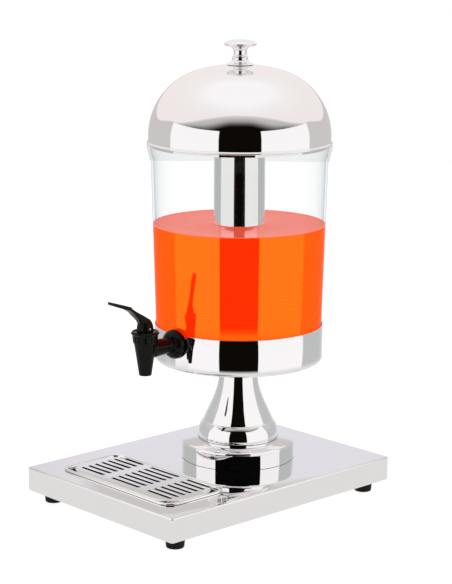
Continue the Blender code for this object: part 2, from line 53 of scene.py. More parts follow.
# The drum's axis and the tap's axes, in millimetres, from the CAD nodes.
DRUM_BOX = [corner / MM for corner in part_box("drum")]
AXIS_Y = (DRUM_BOX[0].y + DRUM_BOX[1].y) / 2
DRUM_BOTTOM = DRUM_BOX[0].z
DRUM_TOP = DRUM_BOX[1].z
BASE_BOX = [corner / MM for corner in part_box("base_plate")]
BASE_TOP = BASE_BOX[1].z
BASE_BOTTOM = BASE_BOX[0].z
TRAY_BOX = [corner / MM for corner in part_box("drip_tray")]
TRAY_Y = (TRAY_BOX[0].y + TRAY_BOX[1].y) / 2
PIN_BOX = [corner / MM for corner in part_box("lever_pin")]
SPOUT_Y = (PIN_BOX[0].y + PIN_BOX[1].y) / 2
PIN_Z = (PIN_BOX[0].z + PIN_BOX[1].z) / 2
NUT_BOX = [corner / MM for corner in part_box("tap_nut")]
SHANK_Z = (NUT_BOX[0].z + NUT_BOX[1].z) / 2

# Shapes that the CAD pieces share with the pieces here, in millimetres.
PLATE_SHEET = 1.2
PLATE_BEND = 1.6
RETURN_FLANGE = 34.0
FOOT_X = 109.0
FOOT_Y = 152.0
FOOT_SCREW_HOLE = 2.3
BOLT_HOLE = 5.3
TRAY_HALF_DEPTH = (TRAY_BOX[1].y - TRAY_BOX[0].y) / 2
TRAY_CORNER = 17.0
GRILLE_INSET = 5.2
GRILLE_TOP = 44.4
SLOT_PITCH = 9.9
FIRST_SLOT_Y = -131.5
CUP_BOTTOM = 163.0
CUP_TOP = 207.0
CUP_RADIUS = 100.5
DRUM_RADIUS = 98.35
DRUM_TAPER = 0.0275
DRUM_WALL = 3.0
COLLAR_BOTTOM = 402.0
TUBE_RADIUS = 30.2
TUBE_TOP = 417.0
LIQUID_LEVEL = 327.0
SKIRT_RADIUS = 107.4
SKIRT_TOP = 431.1
KNUCKLE = 79.0
CROWN = 178.9
CROWN_TOP = 514.2
LID_SHEET = 1.2

# The camera: azimuth from the front, pitch below level, roll, and where it looks from.
CAMERA_AZIMUTH = 47.0
CAMERA_PITCH = 11.76
CAMERA_ROLL = 0.27
CAMERA_PLACE = (1.5643, -1.4340, 0.6918)
CAMERA_LENS = 113.6

UPRIGHT = Matrix.Identity(4)
ALONG_Y = Matrix.Rotation(math.radians(-90), 4, "X")
ALONG_X = Matrix.Rotation(math.radians(90), 4, "Y")
ROUND = 160


# Meshes, in millimetres.


def circle(radius, z, count):
    """A ring of points round the Z axis."""
    steps = [math.tau * i / count for i in range(count)]
    return [Vector((radius * math.cos(a), radius * math.sin(a), z)) for a in steps]


def rounded(half_x, half_y, corner, z, centre=(0.0, 0.0), steps=10):
    """A ring of points on a rectangle with rounded corners."""
    points = []
    for quarter, (sign_x, sign_y) in enumerate(((1, 1), (-1, 1), (-1, -1), (1, -1))):
        for step in range(steps + 1):
            angle = math.pi / 2 * (quarter + step / steps)
            x = centre[0] + sign_x * (half_x - corner) + corner * math.cos(angle)
            y = centre[1] + sign_y * (half_y - corner) + corner * math.sin(angle)
            points.append(Vector((x, y, z)))
    return points


def skin(loops, capped=True):
    """A closed mesh over loops of points: capped at both ends, or joined end to end as a ring."""
    mesh = bmesh.new()
    rings = [[mesh.verts.new(point) for point in loop] for loop in loops]
    following = rings[1:] if capped else rings[1:] + rings[:1]
    for lower, upper in zip(rings, following):
        for i in range(len(lower)):
            j = (i + 1) % len(lower)
            mesh.faces.new((lower[i], lower[j], upper[j], upper[i]))
    if capped:
        mesh.faces.new(rings[0][::-1])
        mesh.faces.new(rings[-1])
    bmesh.ops.recalc_face_normals(mesh, faces=mesh.faces)
    return mesh


def turned(profile, count=ROUND, capped=False, turn=UPRIGHT, centre=(0.0, 0.0, 0.0)):
    """A turned mesh from (radius, height) points, on an axis through centre."""
    mesh = skin([circle(radius, z, count) for radius, z in profile], capped)
    mesh.transform(Matrix.Translation(centre) @ turn)
    return mesh


def arc(radius_at, z_at, radius, start, end, steps=6):
    """(radius, height) points on an arc, its angles in degrees from the outward direction."""
    points = []
    for step in range(steps + 1):
        angle = math.radians(start + (end - start) * step / steps)
        points.append((radius_at + radius * math.cos(angle), z_at + radius * math.sin(angle)))
    return points


def sweep(start, end, steps):
    """Angles in radians from start to end, given in degrees."""
    return [math.radians(start + (end - start) * i / steps) for i in range(steps + 1)]


def flowing(points, steps=6):
    """A smooth curve through (radius, height) points."""
    result = []
    for i in range(len(points) - 1):
        before = Vector(points[max(i - 1, 0)])
        start, end = Vector(points[i]), Vector(points[i + 1])
        after = Vector(points[min(i + 2, len(points) - 1)])
        for step in range(steps):
            t = step / steps
            blend = (
                2 * start
                + (end - before) * t
                + (2 * before - 5 * start + 4 * end - after) * t**2
                + (3 * start - before - 3 * end + after) * t**3
            )
            result.append(tuple(blend / 2))
    result.append(tuple(points[-1]))
    return result


def gathered(shapes):
    """Separate meshes joined into one."""
    whole = bmesh.new()
    data = bpy.data.meshes.new("gathered")
    for shape in shapes:
        shape.to_mesh(data)
        shape.free()
        whole.from_mesh(data)
    bpy.data.meshes.remove(data)
    return whole


def on_axis(z=0.0):
    """A point on the drum's axis."""
    return (0.0, AXIS_Y, z)


def on_spout(z=0.0):
    """A point on the spout's axis."""
    return (0.0, SPOUT_Y, z)


def solid(mesh, name="shape"):
    """An object made from a mesh in millimetres."""
    data = bpy.data.meshes.new(name)
    mesh.to_mesh(data)
    mesh.free()
    obj = bpy.data.objects.new(name, data)
    bpy.context.scene.collection.objects.link(obj)
    return obj


def settle(obj):
    """Bakes an object's modifiers into its mesh."""
    graph = bpy.context.evaluated_depsgraph_get()
    data = bpy.data.meshes.new_from_object(obj.evaluated_get(graph))
    obj.modifiers.clear()
    obj.data = data
    return obj


def combine(obj, mesh, operation="DIFFERENCE"):
    """Cuts a mesh from an object, or joins it on."""
    helper = solid(mesh)
    modifier = obj.modifiers.new("boolean", "BOOLEAN")
    modifier.operation = operation
    modifier.solver = "EXACT"
    modifier.object = helper
    bpy.context.view_layer.update()
    settle(obj)
    bpy.data.objects.remove(helper, do_unlink=True)
    return obj


def edged(obj, width, segments=3, angle=30.0):
    """Rounds an object's sharp edges."""
    modifier = obj.modifiers.new("bevel", "BEVEL")
    modifier.width = width
    modifier.segments = segments
    modifier.limit_method = "ANGLE"
    modifier.angle_limit = math.radians(angle)
    modifier.use_clamp_overlap = True
    bpy.context.view_layer.update()
    return settle(obj)


def piece(obj, name, surface, body, nodes=(), sharp=35.0):
    """Finishes a visible piece: metres, shading, material, and the CAD it stands for."""
    if isinstance(obj, bmesh.types.BMesh):
        obj = solid(obj)
    obj.name = name
    obj.data.name = name
    obj.data.transform(Matrix.Scale(MM, 4))
    obj.data.shade_smooth()
    obj.data.set_sharp_from_angle(angle=math.radians(sharp))
    obj.data.materials.clear()
    obj.data.materials.append(surface)
    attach(obj, body)
    if nodes:
        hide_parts(*nodes)
    return obj


def recolour(obj, material, chosen):
    """Gives another material to the faces that are chosen by their middle, in millimetres, and normal."""
    obj.data.materials.append(material)
    for face in obj.data.polygons:
        if chosen(face.center / MM, face.normal):
            face.material_index = 1


# Materials.


class Graph:
    """Adds nodes to a material's or the world's tree."""

    def __init__(self, owner):
        owner.use_nodes = True
        self.tree = owner.node_tree

    def node(self, kind, *inputs, **settings):
        """A node with its inputs given in order, as values or as other nodes' outputs."""
        made = self.tree.nodes.new(kind)
        named = {}
        for key, value in settings.items():
            if hasattr(made, key):
                setattr(made, key, value)
            else:
                named[key.replace("_", " ")] = value
        for index, value in enumerate(inputs):
            self.feed(made.inputs[index], value)
        for key, value in named.items():
            self.feed(made.inputs[key], value)
        return made

    def feed(self, socket, value):
        """Sets an input, or links it. None leaves it as it is."""
        if value is None:
            return
        if isinstance(value, bpy.types.Node):
            value = value.outputs[0]
        if isinstance(value, bpy.types.NodeSocket):
            self.tree.links.new(value, socket)
        else:
            socket.default_value = value

    def math(self, operation, *values):
        """A number worked out from others."""
        return self.node("ShaderNodeMath", *values, operation=operation)

    def step(self, value, low, high, at_low=0.0, at_high=1.0):
        """A smooth step from at_low to at_high as value goes from low to high."""
        made = self.tree.nodes.new("ShaderNodeMapRange")
        made.interpolation_type = "SMOOTHSTEP"
        for index, given in enumerate((value, low, high, at_low, at_high)):
            self.feed(made.inputs[index], given)
        return made

    def mix(self, factor, first, second):
        """A colour between two others."""
        made = self.tree.nodes.new("ShaderNodeMix")
        made.data_type = "RGBA"
        self.feed(made.inputs[0], factor)
        self.feed(made.inputs[6], first)
        self.feed(made.inputs[7], second)
        return made.outputs[2]

    def noise(self, scale, detail=3.0, roughness=0.5, vector=None, stretch=None):
        """Noise in the object's own space, stretched along an axis if asked."""
        if vector is None:
            vector = self.node("ShaderNodeTexCoord").outputs["Object"]
        if stretch is not None:
            vector = self.node("ShaderNodeMapping", vector, Scale=stretch)
        return self.node(
            "ShaderNodeTexNoise", vector, Scale=scale, Detail=detail, Roughness=roughness
        )

    def bump(self, height, strength, distance, normal=None):
        """A bump normal."""
        return self.node(
            "ShaderNodeBump", Strength=strength, Distance=distance, Height=height, Normal=normal
        )


def surface(name):
    """A new material, its graph and its Principled node."""
    material = bpy.data.materials.new(name)
    graph = Graph(material)
    return material, graph, graph.tree.nodes["Principled BSDF"]


def metal(name, colour, roughness, waviness, brushed=0.0, stretch=(1.0, 1.0, 60.0), lift=0.0):
    """Polished metal: faint smears in the gloss, a slight unevenness, and fine polishing lines.

    A lift leans the shading upwards, so that a wall mirrors the room and not what lies below.
    """
    material, graph, shader = surface(name)
    smear = graph.noise(26.0, 5.0, 0.6)
    fine = graph.noise(900.0, 2.0, 0.5, stretch=stretch)
    graph.feed(shader.inputs["Metallic"], 1.0)
    tint = graph.mix(smear, colour, tuple(c * 0.96 for c in colour[:3]) + (1.0,))
    graph.feed(shader.inputs["Base Color"], tint)
    wear = graph.step(smear, 0.45, 0.8, roughness, roughness * 2.2)
    graph.feed(shader.inputs["Roughness"], graph.math("MULTIPLY_ADD", fine, brushed, wear))
    wave = graph.noise(9.0, 1.5, 0.4)
    facing = None
    if lift:
        normal = graph.node("ShaderNodeNewGeometry").outputs["Normal"]
        leaning = graph.node("ShaderNodeVectorMath", normal, (0.0, 0.0, lift), operation="ADD")
        facing = graph.node("ShaderNodeVectorMath", leaning, operation="NORMALIZE")
    uneven = graph.bump(wave, 1.0, waviness, facing)
    lines = graph.bump(fine, 0.12, 0.00001 + brushed * 0.0002, uneven)
    graph.feed(shader.inputs["Normal"], lines)
    return material


def moulded(name, colour, roughness, grain=0.00004, gloss=0.5):
    """Moulded plastic or rubber: a fine grain, and edges and hollows that vary a little in gloss."""
    material, graph, shader = surface(name)
    smear = graph.noise(60.0, 4.0, 0.6)
    fine = graph.noise(1400.0, 3.0, 0.6)
    lighter = tuple(min(c * 1.6 + 0.001, 1.0) for c in colour[:3]) + (1.0,)
    graph.feed(shader.inputs["Base Color"], graph.mix(smear, colour, lighter))
    graph.feed(
        shader.inputs["Roughness"], graph.step(smear, 0.3, 0.75, roughness * 0.8, roughness * 1.35)
    )
    graph.feed(shader.inputs["Specular IOR Level"], gloss)
    graph.feed(shader.inputs["Normal"], graph.bump(fine, 0.5, grain))
    return material


def clear_plastic():
    """Clear moulded plastic: nearly nothing face on, and pale reflections and a faint tint edge on."""
    material, graph, shader = surface("clear_plastic")
    wave = graph.noise(14.0, 2.0, 0.4, stretch=(1.0, 1.0, 0.25))
    uneven = graph.bump(wave, 0.3, 0.0002)
    facing = graph.node("ShaderNodeLayerWeight", 0.5, uneven).outputs["Facing"]
    grazing = graph.math("POWER", facing, 4.0)
    tint = graph.mix(grazing, (0.966, 0.971, 0.971, 1.0), (0.80, 0.82, 0.83, 1.0))
    passing = graph.node("ShaderNodeBsdfTransparent", tint)
    gloss = graph.step(wave, 0.3, 0.8, 0.01, 0.03)
    shine = graph.node("ShaderNodeBsdfGlossy", (0.9, 0.91, 0.92, 1.0), gloss, Normal=uneven)
    amount = graph.math("MULTIPLY_ADD", graph.math("POWER", grazing, 2.0), 0.5, 0.008)
    mixed = graph.node("ShaderNodeMixShader", amount, passing, shine)
    graph.tree.nodes.remove(shader)
    graph.feed(graph.tree.nodes["Material Output"].inputs["Surface"], mixed)
    return material


def juice():
    """Cloudy orange juice: a deep red-orange body that glows with painted light, with an orange sheen, and
    finer pulp in it.
    """
    material, graph, shader = surface("orange_juice")
    pulp = graph.noise(160.0, 4.0, 0.6)
    body = graph.mix(pulp, (1.0, 0.024, 0.0005, 1.0), (1.0, 0.031, 0.001, 1.0))
    graph.feed(shader.inputs["Base Color"], body)
    graph.feed(shader.inputs["Roughness"], 0.5)
    graph.feed(shader.inputs["Specular IOR Level"], 0.0)
    # The body glows in its own colour: painted light that brightens the juice.
    graph.feed(shader.inputs["Emission Color"], body)
    graph.feed(shader.inputs["Emission Strength"], 0.55)
    sheen = graph.node("ShaderNodeBsdfGlossy", (1.0, 1.0, 0.02, 1.0), 0.012)
    mixed = graph.node("ShaderNodeMixShader", 0.16, shader, sheen)
    graph.feed(graph.tree.nodes["Material Output"].inputs["Surface"], mixed)
    return material


def juice_top():
    """The juice's open surface: wet, pale where it mirrors the room, glowing with painted light, with a
    fine froth.
    """
    material, graph, shader = surface("juice_surface")
    froth = graph.noise(220.0, 4.0, 0.65)
    body = graph.mix(froth, (1.0, 0.11, 0.06, 1.0), (1.0, 0.16, 0.09, 1.0))
    graph.feed(shader.inputs["Base Color"], body)
    graph.feed(shader.inputs["Roughness"], 0.06)
    graph.feed(shader.inputs["IOR"], 1.25)
    # The surface glows in its own colour: painted light that keeps the top bright.
    graph.feed(shader.inputs["Emission Color"], body)
    graph.feed(shader.inputs["Emission Strength"], 0.4)
    graph.feed(shader.inputs["Normal"], graph.bump(froth, 0.2, 0.0002))
    return material


CHROME = metal("chrome", (0.93, 0.93, 0.94, 1.0), 0.008, 0.00001)
MIRROR_STEEL = metal("mirror_steel", (0.93, 0.925, 0.93, 1.0), 0.008, 0.000012, 0.003, (1.0, 40.0, 1.0))
# Dark dull steel for the pan below its ledge: painted shade, the shadow under the grille.
TRAY_PAINTED_SHADE = metal("tray_painted_shade", (0.11, 0.10, 0.095, 1.0), 0.4, 0.0001, 0.1)
# Near-black steel for the slot walls and the grille's underside: painted shade in the slots.
SLOT_PAINTED_SHADE = metal("slot_painted_shade", (0.028, 0.02, 0.015, 1.0), 0.45, 0.0001, 0.1)
TUBE_STEEL = metal("tube_steel", (0.93, 0.925, 0.93, 1.0), 0.01, 0.00001, lift=0.13)
FASTENER_STEEL = metal("fastener_steel", (0.5, 0.5, 0.52, 1.0), 0.3, 0.0002, 0.2)
BLACK_PLASTIC = moulded("black_plastic", (0.003, 0.0035, 0.0022, 1.0), 0.12, 0.00002, 0.12)
BLACK_RUBBER = moulded("black_rubber", (0.004, 0.004, 0.004, 1.0), 0.6, 0.0001, 0.15)
SILICONE = moulded("pale_silicone", (0.6, 0.6, 0.57, 1.0), 0.5)
CLEAR = clear_plastic()
JUICE = juice()
JUICE_TOP = juice_top()


# Base, feet and tray.


def base_loop(inset, z):
    """The base plate's outline, moved inwards by an inset."""
    corner = max(3.5 - inset, 0.8)
    return rounded(BASE_BOX[1].x - inset, BASE_BOX[1].y - inset, corner, z)


def tray_loop(inset, z):
    """The tray's outline, moved inwards by an inset."""
    half_x = TRAY_BOX[1].x - inset
    return rounded(half_x, TRAY_HALF_DEPTH - inset, TRAY_CORNER - inset, z, (0.0, TRAY_Y))


def build_base():
    """The folded base plate, with a rounded bend along its top edges."""
    rounding = arc(0.0, BASE_TOP - PLATE_BEND, PLATE_BEND, 90, 0, 6)
    loops = [base_loop(PLATE_BEND - r, z) for r, z in rounding]
    loops += [
        base_loop(0.0, BASE_BOTTOM + 0.5),
        base_loop(0.5, BASE_BOTTOM),
        base_loop(RETURN_FLANGE, BASE_BOTTOM),
        base_loop(RETURN_FLANGE, BASE_BOTTOM + PLATE_SHEET),
        base_loop(PLATE_SHEET, BASE_BOTTOM + PLATE_SHEET),
        base_loop(PLATE_SHEET, BASE_TOP - PLATE_SHEET),
    ]
    base = solid(skin(loops))
    low, high = BASE_TOP - 5, BASE_TOP + 5
    combine(base, skin((tray_loop(3.0, low), tray_loop(3.0, high))))
    combine(base, turned(((BOLT_HOLE, low), (BOLT_HOLE, high)), 32, True, centre=on_axis()))
    screw_hole = ((FOOT_SCREW_HOLE, 10.0), (FOOT_SCREW_HOLE, 20.0))
    for x in (-FOOT_X, FOOT_X):
        for y in (-FOOT_Y, FOOT_Y):
            combine(base, turned(screw_hole, 24, True, centre=(x, y, 0.0)))
    piece(base, "base_plate_folded", MIRROR_STEEL, "stand", ["base_plate"])


def build_feet():
    """Tapered rubber feet with a rounded lower edge and a recess for the screw."""
    profile = [(FOOT_SCREW_HOLE, 13.7), (FOOT_SCREW_HOLE, 8.3), (5.2, 8.3), (5.2, 0.4), (5.6, 0.0)]
    profile += arc(8.9, 1.3, 1.3, -90, -8, 5)
    profile += [(11.4, 12.0), (12.0, 12.4), (12.0, 13.7)]
    for end, y in (("front", -FOOT_Y), ("rear", FOOT_Y)):
        for hand, x in (("left", -FOOT_X), ("right", FOOT_X)):
            where = f"{end}_{hand}"
            mesh = turned(profile, 64, centre=(x, y, 0.0))
            node = f"foot_{where}"
            piece(mesh, f"rubber_foot_{where}", BLACK_RUBBER, "stand", [node])


def grille_loop(inset, z):
    """The grille's outline, its corners cut back, moved inwards by an inset."""
    half_x = TRAY_BOX[1].x - GRILLE_INSET - inset
    half_y = TRAY_HALF_DEPTH - GRILLE_INSET - inset
    return rounded(half_x, half_y, 30.0 - inset, z, (0.0, TRAY_Y), 14)


def build_tray():
    """The drawn pan with a rolled bead, dull inside and painted dark there as shade under the grille."""
    loops = [tray_loop(9.5, 22.0), tray_loop(7.8, 24.0), tray_loop(6.8, 39.4)]
    loops += [tray_loop(3.8, 39.9), tray_loop(3.8, BASE_TOP + 0.3), tray_loop(0.3, BASE_TOP + 0.3)]
    loops += [tray_loop(0.0, BASE_TOP + 0.8), tray_loop(0.0, BASE_TOP + 1.4)]
    loops += [tray_loop(2.0 + 2.0 * math.cos(a), 43.6 + 1.4 * math.sin(a)) for a in sweep(180, 10, 8)]
    loops += [tray_loop(4.6, 43.0), tray_loop(4.8, 40.9), tray_loop(5.2, 40.6)]
    loops += [tray_loop(8.0, 40.5), tray_loop(8.3, 39.8), tray_loop(9.0, 24.6), tray_loop(10.3, 23.0)]
    pan = piece(skin(loops), "tray_pan", MIRROR_STEEL, "tray", ["drip_tray"])

    def inside(middle, normal):
        """Whether a face belongs to the pan below its ledge."""
        within = abs(middle.x) < TRAY_BOX[1].x - 5.1 and abs(middle.y - TRAY_Y) < TRAY_HALF_DEPTH - 5.1
        return within and middle.z < 40.55 and normal.z > -0.5

    # The pan's faces below the ledge get painted shade: dark steel for the shadow under the grille.
    recolour(pan, TRAY_PAINTED_SHADE, inside)


def build_grille():
    """The slotted grille, its slots softly pressed, with painted shade on the slot walls and the underside.
    """
    top = GRILLE_TOP
    edge = [grille_loop(1.2 - r, z) for r, z in arc(0.0, top - 1.2, 1.2, 90, 0, 5)]
    edge += [grille_loop(0.0, 41.0), grille_loop(1.1, 41.0), grille_loop(1.1, top - 1.2)]
    grille = solid(skin(edge))
    slots = []
    for low, high in ((-80.0, -39.0), (-25.0, 25.0), (39.0, 80.0)):
        for row in range(7):
            middle = ((low + high) / 2, FIRST_SLOT_Y + SLOT_PITCH * row)
            half = (high - low) / 2
            shape = [
                rounded(half, 2.6, 2.5, top - 4, middle, 5),
                rounded(half, 2.6, 2.5, top - 0.5, middle, 5),
                rounded(half + 0.3, 2.9, 2.8, top + 0.1, middle, 5),
                rounded(half + 0.3, 2.9, 2.8, top + 4, middle, 5),
            ]
            slots.append(skin(shape))
    combine(grille, gathered(slots))
    piece(grille, "slotted_grille", MIRROR_STEEL, "grille", ["drip_grille"])

    def in_slot(middle, normal):
        """Whether a face is a slot's wall or the grille's underside."""
        within = abs(middle.x) < 82.0 and abs(middle.y - TRAY_Y) < TRAY_HALF_DEPTH - 9.0
        return within and (abs(normal.z) < 0.3 or middle.z < 43.5)

    # The slot walls and the underside get painted shade, near-black steel.
    recolour(grille, SLOT_PAINTED_SHADE, in_slot)


# Pedestal, cup and drum.


def build_pedestal():
    """The pedestal's round foot and its trumpet-shaped bell."""
    low = BASE_TOP + 0.3
    outer = [(66.5, low), (68.0, low), (68.0, 59.0)]
    outer += arc(64.4, 60.3, 3.6, 0, 75, 8)
    foot = outer + [(49.0, 66.9), (6.2, 66.9), (6.2, 65.4), (48.8, 65.4), (64.4, 62.4), (66.5, 60.0)]
    mesh = turned(foot, ROUND, centre=on_axis())
    piece(mesh, "pedestal_round_foot", CHROME, "stand", ["pedestal_foot"])
    bulge = flowing([(49.0, 68.8), (48.8, 72.0), (47.8, 77.0), (45.9, 82.0), (43.2, 86.4), (42.0, 87.8)], 5)
    flare = [(41.8, 88.2), (40.4, 92.0), (37.0, 99.5), (31.2, 112.0), (26.2, 126.0), (23.9, 137.0)]
    flare += [(23.2, 148.0), (24.2, 157.0), (27.0, 162.7)]
    outside = [(48.6, 67.2), (49.0, 67.7)] + bulge + flowing(flare, 7)
    inside = [(46.6, 73.0), (44.4, 80.0), (40.4, 87.5), (35.3, 99.5), (29.7, 112.0), (24.7, 126.0)]
    inside += [(22.4, 137.0)]
    inside += [(21.7, 148.0), (22.7, 157.0)]
    bell = outside + [(6.2, 162.7), (6.2, 161.2), (24.5, 161.2)] + inside[::-1] + [(47.5, 67.2)]
    mesh = turned(bell, ROUND, centre=on_axis())
    piece(mesh, "pedestal_trumpet", CHROME, "stand", ["pedestal_bell"])


def notch():
    """The U-shaped notch for the tap in the cup's upper edge."""
    right = [(14.0 * math.cos(a), SHANK_Z + 14.0 * math.sin(a)) for a in sweep(-90, 0, 12)]
    right += [(22.0 + 8.0 * math.cos(a), CUP_TOP - 8.0 + 8.0 * math.sin(a)) for a in sweep(180, 90, 8)]
    right.append((22.0, CUP_TOP + 6))
    outline = right + [(-x, z) for x, z in reversed(right[1:])]
    ends = (AXIS_Y - CUP_RADIUS - 6, AXIS_Y - CUP_RADIUS + 12)
    return skin([[Vector((x, y, z)) for x, z in outline] for y in ends])


def build_cup():
    """The chrome cup with its rounded lower edge and its notch."""
    profile = [(6.2, CUP_BOTTOM)] + arc(95.5, CUP_BOTTOM + 5, 5.0, -90, 0, 10)
    profile += [(CUP_RADIUS, CUP_TOP - 0.4), (CUP_RADIUS - 0.25, CUP_TOP)]
    profile += [(CUP_RADIUS - 0.75, CUP_TOP), (CUP_RADIUS - 0.9, CUP_TOP - 0.4)]
    profile += arc(95.5, CUP_BOTTOM + 5, 4.1, 0, -78, 8)
    profile += [(95.0, CUP_BOTTOM + PLATE_SHEET), (6.2, CUP_BOTTOM + PLATE_SHEET)]
    cup = solid(turned(profile, 192, centre=on_axis()))
    combine(cup, notch())
    piece(cup, "drum_cup_band", CHROME, "stand", ["drum_cup"])


def drum_radius(z):
    """Outer radius of the drum's tapered wall."""
    return DRUM_RADIUS + DRUM_TAPER * (z - DRUM_BOTTOM)


def build_drum():
    """The clear drum with its rolled collar, drilled for the tap."""
    wall_top = drum_radius(COLLAR_BOTTOM)
    outer = [(92.0, DRUM_BOTTOM)] + arc(95.4, DRUM_BOTTOM + 3.0, 3.0, -90, 0, 6)
    outer += [(drum_radius(z), z) for z in (200.0, 260.0, 320.0, 380.0)]
    outer += flowing([(wall_top, COLLAR_BOTTOM), (105.9, 405.2), (106.4, 408.0), (108.3, 415.0)], 5)
    outer += arc(107.4, 419.6, 1.8, 0, 100, 6)
    inner = [(106.4, DRUM_TOP), (105.7, 419.4), (103.4, 406.8), (wall_top - DRUM_WALL, 402.6)]
    inner += [(drum_radius(z) - DRUM_WALL, z) for z in (380.0, 320.0, 260.0, 200.0)]
    inner += arc(92.4, DRUM_BOTTOM + 6.4, 3.0, 0, -90, 6)
    drum = solid(turned(outer + inner, 192, True, centre=on_axis()))
    hole = turned(((9.3, -60.0), (9.3, -40.0)), 48, True, ALONG_Y, (0.0, 0.0, SHANK_Z))
    combine(drum, hole)
    piece(drum, "drum_clear", CLEAR, "container", ["drum"])


def build_juice():
    """The juice in the drum: the body, and a separate skin for its open surface."""
    floor = DRUM_BOTTOM + 3.7
    shrink = 0.7
    body = [(34.5, floor)] + arc(92.2, floor + 3.0, 3.0, -90, 0, 5)
    levels = [200.0, 240.0, 280.0, LIQUID_LEVEL - 2.0]
    body += [(drum_radius(z) - shrink, z) for z in levels]
    body += [(drum_radius(LIQUID_LEVEL) - shrink, LIQUID_LEVEL - 0.5)]
    body += [(TUBE_RADIUS + 0.15, LIQUID_LEVEL - 0.5), (TUBE_RADIUS + 0.15, 190.0), (34.5, 184.0)]
    inside = solid(turned(body, 192, centre=on_axis()))
    hole = turned(((15.0, -60.0), (15.0, -34.0)), 48, True, ALONG_Y, (0.0, 0.0, SHANK_Z))
    combine(inside, hole)
    piece(inside, "juice_body", JUICE, "container")
    rim = drum_radius(LIQUID_LEVEL) - shrink
    film = [(TUBE_RADIUS + 0.15, LIQUID_LEVEL - 0.45), (rim, LIQUID_LEVEL - 0.45)]
    film += [(rim, LIQUID_LEVEL + 0.5), (rim - 0.8, LIQUID_LEVEL + 0.1), (rim - 2.0, LIQUID_LEVEL)]
    film += [(TUBE_RADIUS + 2.0, LIQUID_LEVEL), (TUBE_RADIUS + 0.7, LIQUID_LEVEL + 0.1)]
    film += [(TUBE_RADIUS + 0.15, LIQUID_LEVEL + 0.6)]
    mesh = turned(film, 192, centre=on_axis())
    piece(mesh, "juice_open_surface", JUICE_TOP, "container")


def build_ice_tube():
    """The chrome ice tube with a rolled rim, and its soft foot."""
    floor = DRUM_BOTTOM + 8.1
    profile = arc(TUBE_RADIUS - 1.5, floor + 1.5, 1.5, -90, 0, 5)
    profile += [(TUBE_RADIUS, 250.0), (TUBE_RADIUS, 330.0), (TUBE_RADIUS, TUBE_TOP - 2.4)]
    profile += arc(TUBE_RADIUS - 0.2, TUBE_TOP - 1.0, 1.0, -60, 120, 8)
    profile += [(TUBE_RADIUS - 1.0, TUBE_TOP - 2.0), (TUBE_RADIUS - 1.0, floor + 1.8)]
    profile += [(TUBE_RADIUS - 2.0, floor + 1.0)]
    mesh = turned(profile, 96, True, centre=on_axis())
    piece(mesh, "ice_tube_rolled", TUBE_STEEL, "tube", ["ice_tube"])


# Lid.


def dome(sheet, steps):
    """(radius, height) points over the lid, from the middle out, inset by a sheet."""
    crown_z = CROWN_TOP - CROWN
    knuckle_r = SKIRT_RADIUS - KNUCKLE
    meet = math.atan2(knuckle_r, SKIRT_TOP - crown_z)
    points = []
    for step in range(steps):
        angle = meet * step / steps
        radius = max((CROWN - sheet) * math.sin(angle), 2.6)
        points.append((radius, crown_z + (CROWN - sheet) * math.cos(angle)))
    for step in range(steps * 3 + 1):
        angle = meet + (math.pi / 2 - meet) * step / steps / 3
        radius = knuckle_r + (KNUCKLE - sheet) * math.sin(angle)
        points.append((radius, SKIRT_TOP + (KNUCKLE - sheet) * math.cos(angle)))
    return points


def build_lid():
    """The spun lid with a rolled bead, and its chrome knob on a flanged collar."""
    rim = [(SKIRT_RADIUS, 425.4), (SKIRT_RADIUS + 0.1, 424.9)]
    rim += arc(SKIRT_RADIUS + 0.3, 423.1, 1.35, 80, -80, 8)
    rim += [(106.4, 421.7), (106.2, 422.2)]
    shell = dome(0.0, 8) + rim + dome(LID_SHEET, 8)[::-1]
    mesh = turned(shell, 192, centre=on_axis())
    piece(mesh, "lid_spun_dome", CHROME, "lid", ["lid_dome"])
    flange = [(3.0, 514.6), (15.6, 513.9)] + arc(15.5, 514.4, 0.5, -60, 60, 4)
    flange += flowing([(15.3, 515.1), (12.6, 515.9), (10.4, 517.6), (9.5, 519.6), (9.4, 521.6)], 5)
    flange += [(9.2, 522.6), (3.0, 522.6)]
    mesh = turned(flange, 96, centre=on_axis())
    piece(mesh, "knob_flanged_collar", CHROME, "lid", ["knob_collar"])
    knob = [(9.2, 522.9)] + arc(9.0, 523.5, 0.5, -50, 60, 4)
    knob += flowing([(8.6, 524.1), (7.9, 525.2), (7.7, 527.5), (7.9, 530.6), (9.4, 533.2)], 5)
    knob += flowing([(9.6, 533.5), (12.6, 535.0), (16.8, 535.6), (18.7, 536.6)], 5)
    knob += arc(17.5, 538.0, 1.6, -50, 60, 6)
    knob += flowing([(17.6, 539.8), (14.5, 541.3), (9.0, 542.5), (4.0, 542.95), (0.6, 543.0)], 5)
    handle = solid(turned(knob, 96, True, centre=on_axis()))
    combine(handle, turned(((2.3, 520.0), (2.3, 531.0)), 32, True, centre=on_axis()))
    piece(handle, "lid_knob_turned", CHROME, "lid", ["lid_knob"])


# Tap.


